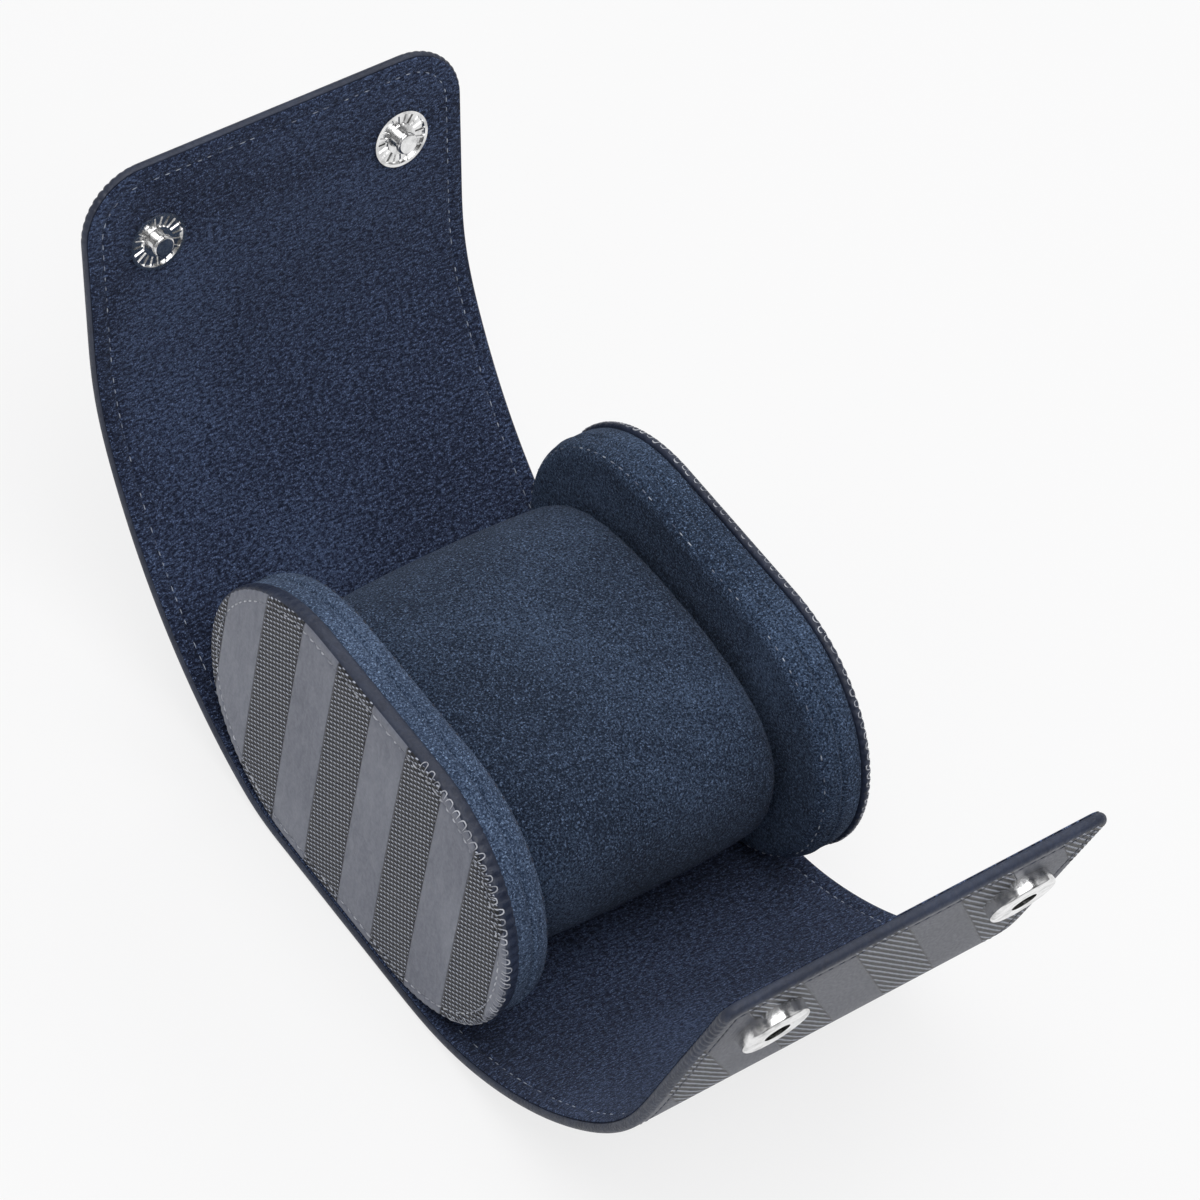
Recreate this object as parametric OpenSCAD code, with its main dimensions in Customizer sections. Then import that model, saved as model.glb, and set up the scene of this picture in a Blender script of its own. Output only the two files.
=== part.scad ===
// Watch roll: a wide lined strap that wraps round two stadium shaped end discs and a pillow.
// X runs along the roll, -Y is the front lip, +Y is the back flap and +Z is up.
// The origin lies under the middle of the discs, on the face that the roll rests on.

/* [Wrap] */
// Width of the wrap along the roll
wrap_w = 85; // [70:0.5:110]
// Thickness of the outer leather
leather_t = 1.0; // [0.8:0.1:1.6]
// Thickness of the stiffening boards
board_t = 0.8; // [0.6:0.1:1.4]
// Thickness of the suede lining over a board
lining_t = 0.7; // [0.5:0.1:1.2]
// Distance from the middle of the base to its fold lines
base_half = 25; // [20:0.5:28]
// Width of the leather turned round the boards
hem = 2.5; // [2:0.25:4]
// Gap round each rounded fold
fold_gap = 0.3; // [0.2:0.05:0.4]

/* [Back flap] */
// Length of each narrow strip of the flap
flap_step = 19.3; // [16:0.1:21]
// Lean of the first strip at the base
flap_lean = 15; // [4:1:20]
// Bend of the first strip
flap_bend_1 = 13; // [6:1:20]
// Bend of the second strip
flap_bend_2 = 10; // [6:1:20]
// Bend of the third strip
flap_bend_3 = 10; // [6:1:20]
// Bend of the fourth strip
flap_bend_4 = 8; // [6:1:20]
// Bend of the fifth strip
flap_bend_5 = 20; // [6:1:24]
// Length of the stiff end of the flap
flap_end_l = 38.5; // [34:0.5:46]
// Corner radius of the flap's free end
flap_corner_r = 13; // [6:0.5:18]

/* [Front lip] */
// Length of each narrow strip of the lip
lip_step = 20.6; // [18:0.2:22]
// Bend of the first strip
lip_bend_1 = 21; // [6:1:26]
// Bend of the second strip
lip_bend_2 = 15; // [6:1:26]
// Bend of the third strip
lip_bend_3 = 14; // [6:1:26]
// Bend of the fourth strip
lip_bend_4 = 25; // [6:1:28]
// Length of the stiff end of the lip
lip_end_l = 47; // [40:0.5:54]
// Corner radius of the lip's free end
lip_corner_r = 3.5; // [3:0.5:12]

/* [End discs] */
// Length of a disc from front to back
disc_l = 96; // [84:0.5:110]
// Height of a disc
disc_h = 61.5; // [54:0.5:70]
// Thickness of a disc
disc_t = 11; // [8:0.5:15]
// Distance from the edge of the wrap to the face of a disc
disc_inset = 0.5; // [0.25:0.25:4]
// Thickness of the leather face of a disc
face_t = 1.4; // [1:0.1:2]
// Round edge of the leather face
face_edge_r = 0.7; // [0.3:0.1:0.9]
// Thickness of the stiff board in a disc
disc_board_t = 1.6; // [1:0.1:2.5]
// Thickness of the suede round a disc
suede_t = 0.8; // [0.5:0.1:1.2]
// Step from the rim of the leather face in to the suede wall
wall_step = 0.6; // [0.3:0.1:1.5]
// Round inner edge of the suede wall
suede_edge_r = 3; // [1.4:0.1:3.2]
// Radius of the raised seam on the suede wall
seam_r = 0.45; // [0.3:0.05:0.6]
// Distance from the inner face of a disc to the raised seam
seam_in = 3.6; // [3.4:0.1:5]

/* [Pillow] */
// Length of the pillow from front to back, at its ends
pillow_l = 78; // [66:0.5:84]
// Height of the pillow at its ends
pillow_h = 46; // [38:0.5:50]
// Height of the bottom of the pillow above the lining, at its ends
strap_gap = 6.5; // [5.5:0.25:10]
// How far the middle of the pillow swells beyond its ends
pillow_crown = 1.4; // [0.4:0.1:2.5]
// Squareness of the pillow's section
pillow_square = 2.5; // [2:0.1:4]
// Radius of the rounded edge at the pillow's ends
pillow_edge_r = 6; // [3:0.5:8]
// Gap between the pillow and each disc
pillow_gap = 0.3; // [0.2:0.05:1]
// Thickness of the pillow's suede sleeve
sleeve_t = 1.0; // [0.6:0.1:1.6]

/* [Snaps] */
// Distance from the middle to each snap, along the roll
snap_x = 27.5; // [18:0.5:30]
// Distance from the free ends to the snaps
snap_in = 16.75; // [12:0.25:20]
// Radius of the ribbed plate under a stud
plate_r = 6; // [5:0.1:7]
// Height of the ribbed plate
plate_h = 1.0; // [0.8:0.1:1.4]
// Radius of a stud
stud_r = 2.25; // [1.8:0.05:2.4]
// Height of a stud over its plate
stud_h = 2.2; // [1.6:0.1:2.3]
// Radius of a magnet cap
cap_r = 6.8; // [6:0.1:8]
// Height of a magnet cap
cap_h = 3.0; // [2.8:0.1:3.6]
// Wall of a magnet cap
cap_wall = 0.5; // [0.4:0.05:0.8]
// Radius of the hole in a magnet cap
socket_r = 2.6; // [2.5:0.05:3]
// Radius of the shanks that hold the snaps
shank_r = 1.5; // [1:0.05:1.7]
// Radius of the washers behind the snaps
washer_r = 5; // [4:0.1:5.5]
// Thickness of the washers
washer_t = 0.5; // [0.3:0.05:0.6]
// Play round shanks and washers
play = 0.1; // [0.05:0.05:0.2]

/* [Hidden] */
wrap_t = leather_t + board_t + lining_t;
flap_bends = [flap_bend_1, flap_bend_2, flap_bend_3, flap_bend_4, flap_bend_5];
lip_bends = [lip_bend_1, lip_bend_2, lip_bend_3, lip_bend_4];
flap_strips = len(flap_bends);
lip_strips = len(lip_bends);
mid_z = wrap_t / 2;
out_v = -wrap_t / 2;
skin_v = out_v + leather_t;
line_v = skin_v + board_t;
in_v = wrap_t / 2;
seat_r = wrap_t / 2 + fold_gap;
disc_r = disc_h / 2;
disc_flat = disc_l - disc_h;
disc_z = wrap_t + disc_r;
disc_x = wrap_w / 2 - disc_inset;
disc_in_x = disc_x - disc_t;
wall_r = disc_r - wall_step;
core_r = wall_r - suede_t;
pillow_w = 2 * (disc_in_x - pillow_gap);
pillow_z = wrap_t + strap_gap + pillow_h / 2;
pillow_mid_steps = 8;
pillow_edge_steps = 3;
pillow_sides = 40;
rib_count = 20;
rib_w = 0.35;
rim_w = 0.6;
stud_u = flap_end_l - snap_in;
cap_u = lip_end_l - snap_in;
cut_over = 1;
sector_reach = 1.5;
rib_sink = 0.3;
hub_rim = 0.9;
neck_in = 0.4;
least_r = 0.5;
stud_head_h = 0.9;
stud_tip_r = 0.5;
cap_edge_r = 0.6;
rivet_head_t = 0.3;
crown_sharp = 2.4;
curve_fn = 360;
round_fn = 96;
small_fn = 48;

// Sum of the first n entries of a list
function sum_to(list, n) = n <= 0 ? 0 : list[n - 1] + sum_to(list, n - 1);

// Way from one end of a curved strip to the other, for a start direction in degrees
function strip_way(l, bend, dir) =
    let (r = l * 180 / (PI * bend))
    [r * (sin(dir + bend) - sin(dir)), r * (cos(dir) - cos(dir + bend))];

// Direction of strip i of a row of strips
function dir_at(lean, bends, i) = lean + sum_to(bends, i);

// Fold line in front of strip i, as distance from the middle and height
function fold_at(l, lean, bends, i) =
    i == 0 ? [base_half, mid_z]
    : fold_at(l, lean, bends, i - 1) + strip_way(l, bends[i - 1], dir_at(lean, bends, i - 1));

// Strip of the wrap's section between two depths, curved up by bend degrees
module curved_band(l, bend, lo, hi) {
    r = l * 180 / (PI * bend);
    far = sector_reach * r;
    translate([0, r])
        intersection() {
            difference() {
                circle(r = r - lo, $fn = curve_fn);
                circle(r = r - hi, $fn = curve_fn);
            }
            polygon([[0, 0], [0, -far], [far * sin(bend), -far * cos(bend)]]);
        }
}

// Part of a rounded fold edge between two depths, round the fold line at the origin
module fold_nose(lo, hi) {
    intersection() {
        circle(r = wrap_t / 2, $fn = round_fn);
        translate([-wrap_t, lo]) square([wrap_t, hi - lo]);
    }
}

// Section of one layer of a curved strip, with a rounded near edge and a hollow far edge
module strip_section(l, bend, lo, hi) {
    difference() {
        union() {
            curved_band(l, bend, lo, hi);
            fold_nose(lo, hi);
        }
        translate(strip_way(l, bend, 0)) circle(r = seat_r, $fn = round_fn);
    }
}

// Section drawn as distance and height, drawn out along the roll
module along_roll(w) {
    rotate([90, 0, 90]) linear_extrude(height = w, center = true) children();
}

// Moves a piece drawn at the origin to fold line i of the flap
module on_flap(i) {
    at = fold_at(flap_step, flap_lean, flap_bends, i);
    translate([0, at[0], at[1]])
        rotate([dir_at(flap_lean, flap_bends, i), 0, 0]) children();
}

// Moves a piece drawn at the origin to fold line i of the lip
module on_lip(i) {
    at = fold_at(lip_step, 0, lip_bends, i);
    mirror([0, 1, 0])
        translate([0, at[0], at[1]])
            rotate([dir_at(0, lip_bends, i), 0, 0]) children();
}

// One layer of curved strip i of the flap
module flap_strip(i, lo, hi) {
    on_flap(i) along_roll(wrap_w) strip_section(flap_step, flap_bends[i], lo, hi);
}

// One layer of curved strip i of the lip
module lip_strip(i, lo, hi) {
    on_lip(i) along_roll(wrap_w) strip_section(lip_step, lip_bends[i], lo, hi);
}

// Outline of a stiff end, with its two free corners rounded
module end_outline(l, corner, inset) {
    r = max(corner - inset, least_r);
    w = wrap_w - 2 * inset;
    near = inset > 0 ? inset : -wrap_t;
    far = l - inset;
    translate([-w / 2, near]) square([w, far - r - near]);
    translate([-w / 2 + r, near]) square([w - 2 * r, far - near]);
    for (s = [-1, 1])
        translate([s * (w / 2 - r), far - r]) circle(r = r, $fn = round_fn);
}

// One layer of a stiff end over its whole outline, with its rounded fold edge
module end_layer(l, corner, lo, hi) {
    intersection() {
        along_roll(wrap_w) {
            fold_nose(lo, hi);
            translate([0, lo]) square([l, hi - lo]);
        }
        translate([0, 0, lo - cut_over])
            linear_extrude(height = hi - lo + 2 * cut_over) end_outline(l, corner, 0);
    }
}

// Space for the board of a stiff end
module end_board_space(l, corner) {
    translate([0, 0, skin_v]) linear_extrude(height = board_t) end_outline(l, corner, hem);
}

// Copies a piece to both snap places of a stiff end
module at_snaps(u) {
    for (s = [-1, 1]) translate([s * snap_x, u, 0]) children();
}

// Round hole or disc between two depths
module puck(r, lo, hi) {
    translate([0, 0, lo]) cylinder(r = r, h = hi - lo, $fn = round_fn);
}

// Solid of a stadium, from a half section given as radius and height
module stadium(flat) {
    for (s = [0, 1])
        rotate([0, 0, 180 * s]) translate([flat / 2, 0, 0]) rotate([0, 0, -90])
            rotate_extrude(angle = 180, $fn = round_fn * 2) children();
    rotate([90, 0, 90]) linear_extrude(height = flat, center = true) {
        children();
        mirror([1, 0]) children();
    }
}

// Half section of a round plate with one round edge at the top
module edged_plate(r, h, edge) {
    square([r - edge, h]);
    square([r, h - edge]);
    translate([r - edge, h - edge]) circle(r = edge, $fn = round_fn);
}

// Puts a stadium drawn lying down at a disc's place, its +Z pointing away from the pillow
module at_disc(side, x) {
    translate([side * x, 0, disc_z]) rotate([90, 0, side * 90]) children();
}

// Leather face on the outside of a disc
module disc_face(side) {
    color("slategray") at_disc(side, disc_x - face_t)
        stadium(disc_flat) edged_plate(disc_r, face_t, face_edge_r);
}

// Stiff board behind the leather face
module disc_board(side) {
    color("tan") at_disc(side, disc_x - face_t - disc_board_t)
        stadium(disc_flat) square([core_r, disc_board_t]);
}

// Foam that fills a disc
module disc_foam(side) {
    h = disc_t - face_t - disc_board_t - suede_t;
    edge = suede_edge_r - suede_t;
    color("gainsboro") at_disc(side, disc_x - face_t - disc_board_t)
        mirror([0, 0, 1]) stadium(disc_flat) edged_plate(core_r, h, edge);
}

// Suede cup with a raised seam that makes the wall and the inner side of a disc
module disc_suede(side) {
    h = disc_t - face_t;
    color("midnightblue") at_disc(side, disc_x - face_t)
        mirror([0, 0, 1]) stadium(disc_flat) difference() {
            union() {
                edged_plate(wall_r, h, suede_edge_r);
                translate([wall_r, h - seam_in]) circle(r = seam_r, $fn = small_fn);
            }
            edged_plate(core_r, h - suede_t, suede_edge_r - suede_t);
        }
}

// Space of the base's board
module base_board_space() {
    l = 2 * (base_half - seat_r - hem);
    w = wrap_w - 2 * hem;
    translate([-w / 2, -l / 2, leather_t]) cube([w, l, board_t]);
}

// One layer of the base, hollow at both folds
module base_layer(lo, hi) {
    along_roll(wrap_w) difference() {
        translate([-base_half, lo]) square([2 * base_half, hi - lo]);
        for (s = [-1, 1])
            translate([s * base_half, mid_z]) circle(r = seat_r, $fn = round_fn);
    }
}

module base_leather() {
    color("darkslategray") difference() {
        base_layer(0, leather_t + board_t);
        base_board_space();
    }
}

module base_board() { color("tan") base_board_space(); }
module base_lining() { color("midnightblue") base_layer(leather_t + board_t, wrap_t); }
module flap_leather(i) { color("darkslategray") flap_strip(i, out_v, skin_v); }
module flap_lining(i) { color("midnightblue") flap_strip(i, skin_v, in_v); }
module lip_leather(i) { color("darkslategray") lip_strip(i, out_v, skin_v); }
module lip_lining(i) { color("midnightblue") lip_strip(i, skin_v, in_v); }

module flap_end_leather() {
    color("darkslategray") on_flap(flap_strips) difference() {
        end_layer(flap_end_l, flap_corner_r, out_v, line_v);
        end_board_space(flap_end_l, flap_corner_r);
    }
}

module flap_end_board() {
    color("tan") on_flap(flap_strips) difference() {
        end_board_space(flap_end_l, flap_corner_r);
        at_snaps(stud_u) puck(washer_r + play, skin_v - cut_over, line_v + cut_over);
    }
}

module flap_end_lining() {
    color("midnightblue") on_flap(flap_strips) difference() {
        end_layer(flap_end_l, flap_corner_r, line_v, in_v);
        at_snaps(stud_u) puck(shank_r + play, line_v - cut_over, in_v + cut_over);
    }
}

module lip_end_leather() {
    color("darkslategray") on_lip(lip_strips) difference() {
        end_layer(lip_end_l, lip_corner_r, out_v, line_v);
        end_board_space(lip_end_l, lip_corner_r);
        at_snaps(cap_u) puck(shank_r + play, out_v - cut_over, line_v);
    }
}

module lip_end_board() {
    color("tan") on_lip(lip_strips) difference() {
        end_board_space(lip_end_l, lip_corner_r);
        at_snaps(cap_u) puck(washer_r + play, skin_v - cut_over, line_v + cut_over);
    }
}

module lip_end_lining() {
    color("midnightblue") on_lip(lip_strips) end_layer(lip_end_l, lip_corner_r, line_v, in_v);
}

// Ribbed plate with a raised rim, its back at height zero
module ribbed_plate() {
    floor_h = plate_h / 2;
    hub_r = stud_r + hub_rim;
    difference() {
        union() {
            cylinder(r = plate_r, h = floor_h, $fn = round_fn);
            difference() {
                cylinder(r = plate_r, h = plate_h, $fn = round_fn);
                puck(plate_r - rim_w, -cut_over, plate_h + cut_over);
            }
            cylinder(r = hub_r, h = plate_h, $fn = round_fn);
            for (k = [0 : rib_count - 1])
                rotate([0, 0, k * 360 / rib_count])
                    translate([hub_r - rib_sink, -rib_w / 2, floor_h / 2])
                        cube([plate_r - rim_w - hub_r + 2 * rib_sink, rib_w, floor_h]);
        }
        puck(shank_r + play, -cut_over, plate_h + cut_over);
    }
}

// Stud with a waist and a round head, its plate's back at height zero
module stud() {
    shank_l = lining_t + board_t - washer_t;
    head_z = plate_h + stud_h - stud_head_h;
    rotate_extrude($fn = round_fn) {
        translate([0, -shank_l]) square([shank_r, shank_l + plate_h]);
        translate([0, plate_h]) square([stud_r - neck_in, head_z - plate_h]);
        translate([0, head_z]) edged_plate(stud_r, stud_head_h, stud_tip_r);
    }
}

// Stands on the lining of the flap's stiff end, at both snap places
module on_flap_lining() {
    on_flap(flap_strips) at_snaps(stud_u) translate([0, 0, in_v]) children();
}

module stud_plates() { color("silver") on_flap_lining() ribbed_plate(); }
module studs() { color("silver") on_flap_lining() stud(); }

module stud_washers() {
    color("silver") on_flap(flap_strips) at_snaps(stud_u) puck(washer_r, skin_v, skin_v + washer_t);
}

// Half section of a magnet cap, open towards the leather, with a round outer edge
module cap_section() {
    difference() {
        edged_plate(cap_r, cap_h, cap_edge_r);
        translate([-cut_over, -cut_over])
            square([cap_r - cap_wall + cut_over, cap_h - cap_wall + cut_over]);
        translate([-cut_over, 0]) square([socket_r + cut_over, cap_h + cut_over]);
    }
}

// Faces outwards from the outer side of the lip
module out_of_lip() {
    on_lip(lip_strips) at_snaps(cap_u) translate([0, 0, out_v]) mirror([0, 0, 1]) children();
}

module magnet_caps() { color("silver") out_of_lip() rotate_extrude($fn = round_fn) cap_section(); }

module magnet_rings() {
    color("dimgray") out_of_lip() rotate_extrude($fn = round_fn)
        translate([socket_r, 0]) square([cap_r - cap_wall - play - socket_r, cap_h - cap_wall]);
}

// Rivet with a thin head at the bottom of the socket
module magnet_rivets() {
    color("silver") out_of_lip() rotate_extrude($fn = round_fn) {
        square([socket_r - play, rivet_head_t]);
        translate([0, -leather_t]) square([shank_r, leather_t]);
    }
}

module magnet_washers() {
    color("silver") on_lip(lip_strips) at_snaps(cap_u) puck(washer_r, skin_v, skin_v + washer_t);
}

// Ring of points round the pillow at one place along the roll, pulled in by inset
function pillow_ring(x, inset) =
    let (swell = pillow_crown * (1 - pow(abs(2 * x / pillow_w), crown_sharp)),
         a = pillow_l / 2 + swell - inset,
         b = pillow_h / 2 + swell - inset,
         e = 2 / pillow_square)
    [for (k = [0 : pillow_sides - 1])
        let (t = k * 360 / pillow_sides)
        [x, a * sign(cos(t)) * pow(abs(cos(t)), e), pillow_z + b * sign(sin(t)) * pow(abs(sin(t)), e)]];

// Places along half the pillow, from its middle to its end, each with how far its ring is pulled in
function pillow_places(half, r) = concat(
    [for (k = [1 : pillow_mid_steps / 2 - 1]) [2 * k / pillow_mid_steps * (half - r), 0]],
    [for (k = [0 : pillow_edge_steps])
        let (a = 90 * k / pillow_edge_steps)
        [half - r * (1 - sin(a)), r * (1 - cos(a))]]);

// Crowned pillow form with a rounded edge round its two flat ends
module pillow_form(inset) {
    n = pillow_sides;
    right = pillow_places(pillow_w / 2 - inset, pillow_edge_r - inset);
    left = [for (k = [len(right) - 1 : -1 : 0]) [-right[k][0], right[k][1]]];
    places = concat(left, [[0, 0]], right);
    m = len(places) - 1;
    rings = [for (p = places) pillow_ring(p[0], inset + p[1])];
    points = [for (ring = rings) for (p = ring) p];
    sides = [for (j = [0 : m - 1]) for (k = [0 : n - 1])
        let (a = j * n + k, b = j * n + (k + 1) % n)
        each [[a, b + n, b], [a, a + n, b + n]]];
    near = [for (k = [1 : n - 2]) [0, k, k + 1]];
    far = [for (k = [1 : n - 2]) [m * n, m * n + k + 1, m * n + k]];
    polyhedron(points = points, faces = concat(sides, near, far));
}

module pillow_sleeve() {
    color("midnightblue") difference() {
        pillow_form(0);
        pillow_form(sleeve_t);
    }
}

module pillow_core() { color("gainsboro") pillow_form(sleeve_t); }

base_leather();
base_board();
base_lining();
flap_leather(0);  // flap_leather_1
flap_leather(1);  // flap_leather_2
flap_leather(2);  // flap_leather_3
flap_leather(3);  // flap_leather_4
flap_leather(4);  // flap_leather_5
flap_lining(0);  // flap_lining_1
flap_lining(1);  // flap_lining_2
flap_lining(2);  // flap_lining_3
flap_lining(3);  // flap_lining_4
flap_lining(4);  // flap_lining_5
flap_end_leather();
flap_end_board();
flap_end_lining();
lip_leather(0);  // lip_leather_1
lip_leather(1);  // lip_leather_2
lip_leather(2);  // lip_leather_3
lip_leather(3);  // lip_leather_4
lip_lining(0);  // lip_lining_1
lip_lining(1);  // lip_lining_2
lip_lining(2);  // lip_lining_3
lip_lining(3);  // lip_lining_4
lip_end_leather();
lip_end_board();
lip_end_lining();
disc_face(-1);  // left_disc_face
disc_board(-1);  // left_disc_board
disc_foam(-1);  // left_disc_foam
disc_suede(-1);  // left_disc_suede
disc_face(1);  // right_disc_face
disc_board(1);  // right_disc_board
disc_foam(1);  // right_disc_foam
disc_suede(1);  // right_disc_suede
pillow_sleeve();
pillow_core();
stud_plates();
studs();
stud_washers();
magnet_caps();
magnet_rings();
magnet_rivets();
magnet_washers();
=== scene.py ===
import math

import bmesh
import bpy
import numpy as np
from mathutils import Matrix, Vector


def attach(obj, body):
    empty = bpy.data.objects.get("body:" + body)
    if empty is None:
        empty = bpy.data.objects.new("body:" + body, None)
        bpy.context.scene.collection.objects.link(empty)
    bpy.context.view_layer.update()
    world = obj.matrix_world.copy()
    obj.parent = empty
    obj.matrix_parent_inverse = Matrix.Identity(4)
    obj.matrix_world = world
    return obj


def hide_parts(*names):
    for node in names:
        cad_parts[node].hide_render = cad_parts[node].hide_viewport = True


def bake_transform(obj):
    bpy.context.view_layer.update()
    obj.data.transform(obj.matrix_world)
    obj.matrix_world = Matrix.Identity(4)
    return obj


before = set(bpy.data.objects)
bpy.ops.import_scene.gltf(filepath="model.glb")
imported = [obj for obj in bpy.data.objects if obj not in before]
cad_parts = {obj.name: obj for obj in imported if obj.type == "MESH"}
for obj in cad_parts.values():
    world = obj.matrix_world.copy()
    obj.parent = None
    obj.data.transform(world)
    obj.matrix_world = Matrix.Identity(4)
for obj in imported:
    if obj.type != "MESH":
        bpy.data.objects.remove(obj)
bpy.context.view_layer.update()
scene = bpy.context.scene

# Driving sizes in millimetres and degrees, with the values of the part's source
WRAP_W = 85.0
WRAP_T = 2.5
BASE_HALF = 25.0
FLAP = dict(sign=1, lean=15.0, step=19.3, bends=[13, 10, 10, 8, 20], end=38.5, corner=13.0)
LIP = dict(sign=-1, lean=0.0, step=20.6, bends=[21, 15, 14, 25], end=47.0, corner=3.5)
DISC_L = 96.0
DISC_H = 61.5
DISC_T = 11.0
DISC_INSET = 0.5
PILLOW_L = 78.0
PILLOW_H = 46.0
PILLOW_CROWN = 1.4
PILLOW_SQUARE = 2.5
PILLOW_GAP = 0.3
STRAP_GAP = 6.5

# Radius of the pillow's end edges, fuller here than in the part's source
PILLOW_EDGE = 4.4

# Sizes that follow from them
EDGE = WRAP_T / 2
WRAP_HALF = WRAP_W / 2
DISC_X = WRAP_HALF - DISC_INSET
DISC_R = DISC_H / 2
DISC_FLAT = DISC_L - DISC_H
DISC_Z = WRAP_T + DISC_R
PILLOW_W = 2 * (DISC_X - DISC_T - PILLOW_GAP)
PILLOW_Z = WRAP_T + STRAP_GAP + PILLOW_H / 2

# One millimetre in metres, and the sign of x on the side of each disc
MM = 0.001
LEFT, RIGHT = -1, 1


# Node trees
class Graph:
    """Short forms for building a node tree"""

    # Sockets of the Mix node when it mixes colours
    MIX_FACTOR, MIX_FIRST, MIX_SECOND, MIX_RESULT = 0, 6, 7, 2

    def __init__(self, tree):
        self.tree = tree

    def put(self, socket, value):
        """Links a node's output to the socket, or sets the socket's own value"""
        if isinstance(value, bpy.types.NodeSocket):
            self.tree.links.new(value, socket)
        elif socket.type == "RGBA" and len(value) == 3:
            socket.default_value = (*value, 1)
        else:
            socket.default_value = value

    def node(self, kind, inputs=(), out=0, **settings):
        """Adds a node with its settings and inputs, and gives one of its outputs"""
        node = self.tree.nodes.new(kind)
        for key, value in settings.items():
            setattr(node, key, value)
        for key, value in dict(inputs).items():
            self.put(node.inputs[key], value)
        return node.outputs[out]

    def coords(self, which, scale=(1, 1, 1)):
        place = self.node("ShaderNodeTexCoord", out=which)
        return self.node("ShaderNodeMapping", {"Vector": place, "Scale": scale})

    def axes(self, vector):
        separate = self.tree.nodes.new("ShaderNodeSeparateXYZ")
        self.put(separate.inputs[0], vector)
        return separate.outputs

    def noise(self, vector, scale, detail=2.0, rough=0.5, twist=0.0):
        inputs = {"Vector": vector, "Scale": scale, "Detail": detail, "Roughness": rough, "Distortion": twist}
        return self.node("ShaderNodeTexNoise", inputs, out="Fac")

    def math(self, operation, *values):
        return self.node("ShaderNodeMath", enumerate(values), operation=operation)

    def total(self, *terms):
        """Sum of values times their shares"""
        parts = [self.math("MULTIPLY", value, share) for value, share in terms]
        result = parts[0]
        for part in parts[1:]:
            result = self.math("ADD", result, part)
        return result

    def wave(self, value, length):
        """Sine of a place, with one full turn in length"""
        return self.math("SINE", self.math("MULTIPLY", value, 2 * math.pi / length))

    def step(self, value, low, high, start=0.0, end=1.0):
        """Goes smoothly from start to end while value goes from low to high"""
        inputs = {"Value": value, "From Min": low, "From Max": high, "To Min": start, "To Max": end}
        return self.node("ShaderNodeMapRange", inputs, out="Result", interpolation_type="SMOOTHSTEP")

    def ramp(self, factor, stops):
        """Colour ramp with stops (place, value); a value is a colour, or one number for a grey"""
        node = self.tree.nodes.new("ShaderNodeValToRGB")
        elements = node.color_ramp.elements
        while len(elements) < len(stops):
            elements.new(0.5)
        for element, (place, value) in zip(elements, stops):
            colour = value if isinstance(value, tuple) else (value, value, value)
            element.position = place
            element.color = (*colour, 1)
        self.put(node.inputs["Fac"], factor)
        return node.outputs["Color"]

    def mix(self, factor, first, second, blend_type="MIX"):
        inputs = {self.MIX_FACTOR: factor, self.MIX_FIRST: first, self.MIX_SECOND: second}
        return self.node("ShaderNodeMix", inputs, self.MIX_RESULT, data_type="RGBA", blend_type=blend_type)


class Material(Graph):
    """A material round one Principled shader"""

    def __init__(self, name, colour, rough, **inputs):
        self.data = bpy.data.materials.new(name)
        self.data.use_nodes = True
        super().__init__(self.data.node_tree)
        self.shader = self.tree.nodes["Principled BSDF"]
        self.set(Base_Color=colour, Roughness=rough, **inputs)

    def set(self, **inputs):
        """Sets the shader's inputs; their names have a low line for each space"""
        for key, value in inputs.items():
            self.put(self.shader.inputs[key.replace("_", " ")], value)

    def bump(self, height, strength, distance):
        inputs = {"Height": height, "Strength": strength, "Distance": distance}
        self.set(Normal=self.node("ShaderNodeBump", inputs, out="Normal"))


def srgb(code):
    """Linear colour of a six-digit code"""
    parts = [int(code[i:i + 2], 16) / 255 for i in (0, 2, 4)]
    return tuple(x / 12.92 if x <= 0.04045 else ((x + 0.055) / 1.055) ** 2.4 for x in parts)


# Materials; noise scales are per metre, and lengths are in metres
def suede(name, dark, base, light, which="Object", ridge=(1, 1, 1), ridges=2300, tip_and_glint_share=0.75):
    """Brushed nap: short ridges, fine grain with painted shade in the low spots of its grain, pale fibre ends
    that are also painted glints of light, and slow patches where the pile lies differently
    """
    dark, base, light = srgb(dark), srgb(base), srgb(light)
    # Tones of the painted shade in the grain, and of the pale fibre ends that are also painted glints
    pile_shade_tone = tuple(x * 0.4 for x in dark)
    pale_tip_and_glint_tone = tuple(min(1, x * 2.2 + 0.03) for x in light)
    m = Material(name, base, 0.95, Sheen_Weight=0.1, Sheen_Roughness=0.5,
                 Sheen_Tint=(0.6, 0.68, 0.85, 1), Specular_IOR_Level=0.12)
    place = m.coords(which)
    nap = m.noise(m.coords(which, ridge), ridges, detail=3, rough=0.6, twist=0.5)
    grain = m.noise(place, 2600, detail=3, rough=0.7)
    patch = m.noise(place, 17, detail=2, rough=0.5, twist=1.2)
    fine = m.noise(place, 3000, detail=1)
    pile = m.total((nap, 0.42), (grain, 0.4), (patch, 0.18))
    colour = m.ramp(pile, [(0.43, dark), (0.5, base), (0.57, light)])
    # Pale fibre ends, also painted glints of light, where the fine noise and the nap are both high
    pale_tips_and_glints = m.math("MULTIPLY", m.step(fine, 0.57, 0.68), m.step(nap, 0.44, 0.56))
    # Painted shade in the low spots of the grain
    pile_shade = m.step(grain, 0.45, 0.34)
    colour = m.mix(m.math("MULTIPLY", pale_tips_and_glints, tip_and_glint_share), colour, pale_tip_and_glint_tone)
    colour = m.mix(m.math("MULTIPLY", pile_shade, 0.6), colour, pile_shade_tone)
    m.set(Base_Color=colour)
    m.bump(m.total((nap, 0.8), (grain, 0.5)), strength=0.95, distance=0.0007)
    return m.data


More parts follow.
